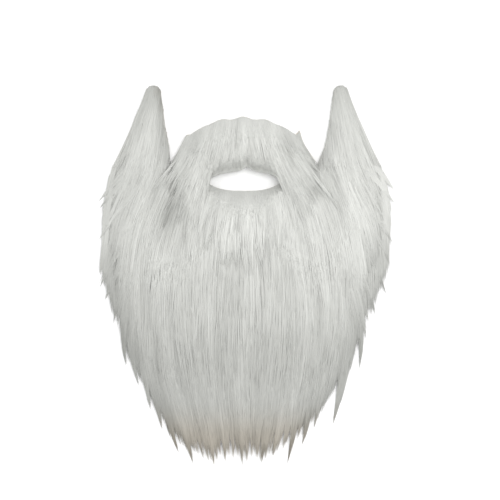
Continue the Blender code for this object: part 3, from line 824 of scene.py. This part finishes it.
def short_fringe():
    """The short locks between the long ones, just past the outline: pointed ones and blunt ones."""
    x, y = outline_places(FRINGE_COUNT)
    ragged = smooth((-y - 0.07) / 0.09)
    beyond = FLANK_BEYOND + (RAGGED_BEYOND + FRINGE_BEYOND * rng.random(FRINGE_COUNT)) * ragged
    tips = moved_along(x, y, fringe_comb(x, y), beyond)
    lengths = HAIR_LENGTH * rng.uniform(0.70, 0.9, len(tips))
    low = tips[:, 1] < RAGGED_BELOW
    blunt = 0.6 * lengths[~low]
    return [
        locks(tips[low], lengths[low], fringe_comb, below_lip, beard_pile, FRINGE_SHORT),
        locks(tips[~low], blunt, flank_comb, near_outline, beard_pile, FLANK_BLUNT),
    ]


def beard_end():
    """The locks that cover the beard's end, row over row."""
    tips = scattered(*END_TIPS)
    tips = tips[in_beard(*tips.T)] - (0, END_DROP)
    lengths = HAIR_LENGTH * rng.uniform(0.70, 1.0, len(tips))
    return locks(tips, lengths, beard_comb, in_beard, beard_pile, BEARD_END)


def chin_tuft():
    """The raised locks below the lip, brightened with painted light, which end along a curve."""
    tips = scattered(*TUFT_TIPS)
    tips = tips[tips[:, 1] > TUFT_CURVE * (tips[:, 0] - MOUTH_OFFSET) ** 2 + TUFT_END]
    lengths = HAIR_LENGTH * rng.uniform(0.5, 1.0, len(tips))
    return locks(tips, lengths, beard_comb, in_beard, beard_pile, CHIN_TUFT, lift=0.0010, shade=0.03)


def wing_height(x, y):
    """Height of the moustache's long hair: its own pile, then just above the cheeks past the seam."""
    past = smooth((moustache_edges(x)[0] - y) / 0.010)
    return np.where(past > 0, cheek_top(x, y), moustache_pile(x, y)) + 0.0012 * past


def in_wings(x, y):
    """Where the moustache's long hair may end: beside the mouth and down over the cheeks."""
    across = np.abs(x - MOUTH_OFFSET)
    outer = np.interp(y, [-0.052, -0.030, 0.000, 0.030, 0.045], [0.058, 0.074, 0.086, 0.084, 0.072])
    inner = np.interp(y, [-0.052, 0.000, 0.025], [0.046, 0.041, 0.041])
    return (across > inner) & (across < outer) & (y > -0.052)


def over_seam(x, y):
    return in_moustache(x, y) | (y < moustache_edges(x)[0] + 0.004)


def moustache_body():
    tips = scattered(*MOUSTACHE_TIPS)
    tips = tips[in_moustache(*tips.T)]
    lengths = rng.uniform(0.045, 0.070, len(tips))
    return locks(tips, lengths, moustache_comb, in_moustache, moustache_pile, MOUSTACHE_BODY)


def moustache_wings():
    """The long locks that run over the seams and down over the cheeks, fewer lower down."""
    tips = scattered(*WINGS_TIPS)
    thinning = np.interp(tips[:, 1], [-0.05, 0.01], [0.35, 1.0])
    wings = in_wings(*tips.T) & ~in_moustache(*tips.T)
    tips = tips[wings & (rng.random(len(tips)) < thinning)]
    lengths = rng.uniform(0.065, 0.105, len(tips))
    # shade lightens the wings: painted light where they lie over the hollows
    return locks(tips, lengths, moustache_comb, over_seam, wing_height, WING, shade=0.02)


def wisps():
    lengths = rng.uniform(0.060, 0.085, len(WISP_TIPS))
    # shade lightens the wisps: painted light on hair that lies on top
    return locks(
        WISP_TIPS, lengths, moustache_comb, over_seam, wing_height, WISP, lift=0.0008, shade=0.03)


def mouth_rim():
    """Short locks that end at the mouth's upper rim or just above it."""
    x = MOUTH_OFFSET + MOUTH_WIDTH / 2 * np.linspace(-1, 1, RIM_LOCKS)
    above = 0.012 * rng.random(len(x)) ** 2
    tips = np.stack([x, moustache_edges(x)[0] + above - RIM_COVER], -1)
    lengths = rng.uniform(0.035, 0.055, len(x))
    return locks(
        tips, lengths, moustache_comb, in_moustache, moustache_pile, MOUTH_RIM, shortest=0.97)


# Under-fur and cloth


def beard_grid(inset, jaw_inset, end, rounding, rows=64, columns=97):
    """Plan points of the beard below the notches: the face's edge fades out of the rows going down."""
    u = np.linspace(-1, 1, columns)[None]
    level = np.linspace(CHIN_TABLE[0, 0], 1.0, rows)[:, None]
    y = -level * (CHIN_DROP - end)
    below = level - level[0]
    fade = 1 - np.clip(below / FACE_FADE, 0, 1)
    half, centre, _ = beard_edges(np.minimum(y + (NOTCH_RISE - y[0]) * fade, NOTCH_RISE))
    half = half - (inset + (jaw_inset - inset) * np.clip(below / MARGIN_FULL, 0, 1))
    if rounding:
        half = half * np.sqrt(1 - (1 - rounding ** 2) * np.clip((level - 0.35) / 0.65, 0, 1) ** 2)
    notch = SEAM_HALF_WIDTH / (JAW_WIDTH / 2)
    lip_x = MOUTH_OFFSET + np.clip(u / notch, -1, 1) * SEAM_HALF_WIDTH
    foot_x = lip_x + (np.sign(u) * half - lip_x) * np.clip((np.abs(u) - notch) / (1 - notch), 0, 1)
    x = centre + half * u
    return x + (foot_x - x) * fade ** 3, y + (lip_height(lip_x) - y[0]) * fade


def side_grid(side, inset, rows=40, columns=13):
    """Plan points of one sideburn, from its tip down to just below its notch."""
    share = np.linspace(0, 1, rows)[:, None] ** 1.5
    y = SIDEBURN_RISE - inset + (NOTCH_RISE - 0.004 - SIDEBURN_RISE + inset) * share
    outer, inner = sideburn_edges(y + inset * np.clip((y - NOTCH_RISE) / 0.08, 0, 1), side)
    half = np.maximum((outer - inner) / 2 - inset, 0.0004)
    x = side * (outer + inner) / 2 + half * np.linspace(-1, 1, columns)[None]
    return x, np.broadcast_to(y, x.shape)


def moustache_grid(lip_margin, edge_margin, rows=26, columns=99):
    x = np.linspace(-1, 1, columns)[None] * (SEAM_HALF_WIDTH * 0.975 - edge_margin) + MOUTH_OFFSET
    lower, upper = moustache_edges(x)
    mouth = np.clip((MOUTH_WIDTH / 2 - np.abs(x - MOUTH_OFFSET)) / (MOUTH_WIDTH / 8), 0, 1)
    lower = lower + lip_margin * mouth
    upper = np.maximum(upper - edge_margin, lower + 0.0005)
    share = np.linspace(0, 1, rows)[:, None]
    y = upper + (lower - upper) * share
    return np.broadcast_to(x, y.shape), y


def combed_back(x, y, comb, top):
    """Where the hair of each plan point comes from: its x after a walk up the comb to the height top."""
    step = (top - y) / STEPS
    for _ in range(STEPS):
        x, y = x - comb(x, y) * step, y + step
    return x


def add_under_fur(material):
    """Dense pile just below the strands, one solid for each node, with its streaks along the comb."""
    grids = [side_grid(-1, 0.0004), beard_grid(0.0004, 0.003, 0.024, 0.0), side_grid(1, 0.0004)]
    beard = (grids, cheek_top, beard_comb, 0.0)
    moustache = ([moustache_grid(0.0, 0.0015)], moustache_pile, moustache_comb, MOUSTACHE_RISE)
    for name, (grids, pile, comb, rise) in (("beard", beard), ("moustache", moustache)):
        shapes = []
        for x, y in grids:
            shapes.append(slab(x, y, CORE_SEAT, np.maximum(pile(x, y) - UNDER_FUR, CORE_SEAT + 0.0006)))
        points, faces = joined(shapes)
        core = add_piece(f"{name}_under_fur", points, faces, material)
        x, y, z = points.T
        flow = np.stack([combed_back(x, y, comb, rise), y, z], -1)
        # The tone carries the painted light and shade of tone_at as well as the fur's grey
        look = np.stack([tone_at(x, y), warmth(x, y), np.zeros_like(x)], -1)
        for name_of_values, values in (("flow", flow), ("look", look)):
            attribute = core.data.attributes.new(name_of_values, "FLOAT_VECTOR", "POINT")
            attribute.data.foreach_set("vector", values.astype(np.float32).ravel())
        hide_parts(f"{name}_fur")


def add_cloth(material):
    grids = [
        side_grid(-1, SIDEBURN_OVERHANG, 24, 7),
        beard_grid(SIDEBURN_OVERHANG, CHEEK_OVERHANG, HAIR_LENGTH, 0.24, 40, 65),
        side_grid(1, SIDEBURN_OVERHANG, 24, 7),
    ]
    beard = joined([slab(x, y, CLOTH_LIFT, CLOTH_THICKNESS) for x, y in grids])
    moustache = slab(*moustache_grid(LIP_OVERHANG, 0.0, 12, 65), CLOTH_LIFT, CLOTH_THICKNESS)
    for name, node, (points, faces) in (
        ("beard_cloth", "beard_backing", beard),
        ("moustache_cloth", "moustache_backing", moustache),
    ):
        piece = add_piece(name, points, faces, material)
        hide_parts(node)


def tube(path, radius, sides=6):
    """Closed round thread along a path: a ring of sides at each point, square to the thread's way."""
    along = np.gradient(path, axis=0)
    along /= np.linalg.norm(along, axis=1, keepdims=True)
    aside = np.cross(along, [0.0, 0.0, 1.0])
    aside /= np.linalg.norm(aside, axis=1, keepdims=True)
    above = np.cross(aside, along)
    angle = np.linspace(0, 2 * np.pi, sides, endpoint=False)[:, None]
    points = path[:, None] + radius * (np.cos(angle) * aside[:, None] + np.sin(angle) * above[:, None])
    index = np.arange(len(path) * sides).reshape(-1, sides)
    after = np.roll(index, -1, axis=1)
    wall = np.stack([index[:-1], index[1:], after[1:], after[:-1]], -1).reshape(-1, 4)
    caps = [
        [ring[0], ring[k], ring[k + 1], ring[k + 2]]
        for ring in (index[0], index[-1][::-1]) for k in range(1, sides - 2, 2)
    ]
    return points.reshape(-1, 3), np.concatenate([wall, np.array(caps)])


def add_stitches(material):
    """Zigzag of thread on the underside that holds the two cloths together along both seams."""
    shapes = []
    for side in (-1, 1):
        across = np.arange(MOUTH_WIDTH / 2 + 0.003, SEAM_HALF_WIDTH - 0.003, STITCH_STEP / 2)
        x = MOUTH_OFFSET + side * across
        y = lip_height(x) + SEAM_GAP / 2 + STITCH_REACH * np.where(np.arange(len(x)) % 2, 1.0, -1.0)
        z = np.full_like(x, CLOTH_LIFT)
        shapes.append(tube(np.stack([x, y, z], -1), THREAD_RADIUS))
    stitches = add_piece("seam_stitches", *joined(shapes), material)


# Materials


def srgb(*levels):
    """Linear colour of 8-bit screen levels."""
    shares = np.array(levels) / 255
    linear = np.where(shares <= 0.04045, shares / 12.92, ((shares + 0.055) / 1.055) ** 2.4)
    return (*linear.tolist(), 1.0)


def new_material(name, roughness, sheen):
    material = bpy.data.materials.new(name)
    material.use_nodes = True
    nodes, links = material.node_tree.nodes, material.node_tree.links
    shader = nodes["Principled BSDF"]
    shader.inputs["Roughness"].default_value = roughness
    shader.inputs["Specular IOR Level"].default_value = 0.25
    shader.inputs["Sheen Weight"].default_value = sheen
    shader.inputs["Sheen Roughness"].default_value = 0.5
    return material, nodes, links, shader


def ramp(nodes, stops):
    node = nodes.new("ShaderNodeValToRGB")
    elements = node.color_ramp.elements
    while len(elements) < len(stops):
        elements.new(0.5)
    for element, (position, colour) in zip(elements, stops):
        element.position, element.color = position, colour
    return node


def fur_colour(nodes, links, tone, warm, shader):
    """Colour the shader by a tone from grey to white and by how brownish it is."""
    levels = [DARKEST_FUR + TONE_SPAN * k // 4 for k in range(5)]
    tones = ramp(nodes, [(k / 4, srgb(level - 1, level, level - 4)) for k, level in enumerate(levels)])
    mix = nodes.new("ShaderNodeMix")
    mix.data_type, mix.blend_type = "RGBA", "MULTIPLY"
    mix.inputs[7].default_value = (1.0, 0.91, 0.82, 1)
    links.new(tone, tones.inputs["Fac"])
    links.new(warm, mix.inputs["Factor"])
    links.new(tones.outputs["Color"], mix.inputs[6])
    links.new(mix.outputs[2], shader.inputs["Base Color"])


def strand_material():
    """White strands: tone across the map and brownness up it, and glossier where they are paler."""
    material, nodes, links, shader = new_material("fur_strands", 0.5, 0.3)
    place = nodes.new("ShaderNodeUVMap")
    place.uv_map = "OFBake"
    split = nodes.new("ShaderNodeSeparateXYZ")
    gloss = nodes.new("ShaderNodeMapRange")
    gloss.inputs["To Min"].default_value, gloss.inputs["To Max"].default_value = 0.70, 0.50
    links.new(place.outputs["UV"], split.inputs[0])
    links.new(split.outputs["X"], gloss.inputs["Value"])
    links.new(gloss.outputs["Result"], shader.inputs["Roughness"])
    fur_colour(nodes, links, split.outputs["X"], split.outputs["Y"], shader)
    return material


def under_fur_material():
    """Dense pile below the strands: coarse and fine streaks along the comb, in tone and in relief."""
    material, nodes, links, shader = new_material("under_fur", 0.7, 0.3)
    flow, look = nodes.new("ShaderNodeAttribute"), nodes.new("ShaderNodeAttribute")
    flow.attribute_name, look.attribute_name = "flow", "look"
    split = nodes.new("ShaderNodeSeparateXYZ")
    links.new(look.outputs["Vector"], split.inputs[0])
    streaks = split.outputs["X"]
    for width, length, depth in ((0.0045, 0.060, 0.16), (0.0014, 0.030, 0.22)):
        stretch = nodes.new("ShaderNodeMapping")
        stretch.inputs["Scale"].default_value = (1 / width, 1 / length, 0)
        noise = nodes.new("ShaderNodeTexNoise")
        noise.inputs["Scale"].default_value, noise.inputs["Detail"].default_value = 1.0, 2.0
        centred = nodes.new("ShaderNodeMath")
        centred.operation = "SUBTRACT"
        centred.inputs[1].default_value = 0.5
        added = nodes.new("ShaderNodeMath")
        added.operation = "MULTIPLY_ADD"
        added.inputs[1].default_value = depth
        links.new(flow.outputs["Vector"], stretch.inputs["Vector"])
        links.new(stretch.outputs["Vector"], noise.inputs["Vector"])
        links.new(noise.outputs["Fac"], centred.inputs[0])
        links.new(centred.outputs[0], added.inputs[0])
        links.new(streaks, added.inputs[2])
        streaks = added.outputs[0]
    bump = nodes.new("ShaderNodeBump")
    bump.inputs["Distance"].default_value, bump.inputs["Strength"].default_value = 0.001, 0.5
    links.new(noise.outputs["Fac"], bump.inputs["Height"])
    links.new(bump.outputs["Normal"], shader.inputs["Normal"])
    fur_colour(nodes, links, streaks, split.outputs["Y"], shader)
    return material


def cloth_material():
    """Knitted back: columns of loops 1.6 mm apart, a mottled tone and a slightly fuzzy relief."""
    material, nodes, links, shader = new_material("knitted_cloth", 0.92, 0.2)
    place = nodes.new("ShaderNodeTexCoord")
    ribs, courses = nodes.new("ShaderNodeTexWave"), nodes.new("ShaderNodeTexWave")
    for wave, direction, scale in ((ribs, "X", 100), (courses, "Y", 130)):
        wave.bands_direction = direction
        wave.inputs["Scale"].default_value = scale
        wave.inputs["Distortion"].default_value = 1.5
        wave.inputs["Detail Scale"].default_value = 8.0
        links.new(place.outputs["Object"], wave.inputs["Vector"])
    loops = nodes.new("ShaderNodeMath")
    loops.operation = "MULTIPLY"
    links.new(ribs.outputs["Fac"], loops.inputs[0])
    links.new(courses.outputs["Fac"], loops.inputs[1])
    mottle = nodes.new("ShaderNodeTexNoise")
    mottle.inputs["Scale"].default_value = 60
    links.new(place.outputs["Object"], mottle.inputs["Vector"])
    mixed = nodes.new("ShaderNodeMath")
    mixed.operation = "MULTIPLY_ADD"
    mixed.inputs[1].default_value = 0.6
    links.new(loops.outputs[0], mixed.inputs[0])
    half = nodes.new("ShaderNodeMath")
    half.operation = "MULTIPLY"
    half.inputs[1].default_value = 0.5
    links.new(mottle.outputs["Fac"], half.inputs[0])
    links.new(half.outputs[0], mixed.inputs[2])
    colours = ramp(nodes, [
        (0.15, srgb(196, 190, 176)),
        (0.50, srgb(222, 218, 206)),
        (0.85, srgb(236, 233, 224)),
    ])
    links.new(mixed.outputs[0], colours.inputs["Fac"])
    bump = nodes.new("ShaderNodeBump")
    bump.inputs["Distance"].default_value, bump.inputs["Strength"].default_value = 0.0006, 0.9
    links.new(loops.outputs[0], bump.inputs["Height"])
    links.new(colours.outputs["Color"], shader.inputs["Base Color"])
    links.new(bump.outputs["Normal"], shader.inputs["Normal"])
    return material


# Stage


def add_stage():
    mesh = bpy.data.meshes.new("floor")
    mesh.from_pydata([(-4, -4, 0), (4, -4, 0), (4, 4, 0), (-4, 4, 0)], [], [(0, 1, 2, 3)])
    floor = bpy.data.objects.new("floor", mesh)
    bpy.context.scene.collection.objects.link(floor)
    material, _, _, shader = new_material("pale_floor", 0.9, 0.0)
    shader.inputs["Base Color"].default_value = (0.98, 0.98, 0.98, 1)
    mesh.materials.append(material)

    world = bpy.data.worlds.new("studio")
    world.use_nodes = True
    world.node_tree.nodes["Background"].inputs["Color"].default_value = (1, 1, 1, 1)
    world.node_tree.nodes["Background"].inputs["Strength"].default_value = 1.06
    bpy.context.scene.world = world
    light = bpy.data.lights.new("softbox", "AREA")
    light.shape, light.size, light.energy = "DISK", 0.9, 9.0
    lamp = bpy.data.objects.new("softbox", light)
    lamp.location = (0.48, 0.22, 1.52)
    lamp.rotation_euler = (math.radians(-9), math.radians(18), 0)
    bpy.context.scene.collection.objects.link(lamp)

    camera = bpy.data.cameras.new("camera")
    camera.lens, camera.sensor_width = 120, 36
    seat = bpy.data.objects.new("camera", camera)
    seat.location = (0.003, -0.045, 1.679)
    bpy.context.scene.collection.objects.link(seat)
    bpy.context.scene.camera = seat
    bpy.context.scene.view_settings.view_transform = "Standard"


def main():
    add_stage()
    fur, under_fur, cloth = strand_material(), under_fur_material(), cloth_material()
    add_under_fur(under_fur)
    add_cloth(cloth)
    add_stitches(cloth)
    beard_hair = [beard_body(), long_fringe(), *short_fringe(), beard_end(), chin_tuft()]
    add_strands("beard_hair", beard_hair, fur)
    moustache_hair = [moustache_body(), moustache_wings(), wisps(), mouth_rim()]
    add_strands("moustache_hair", moustache_hair, fur)


main()
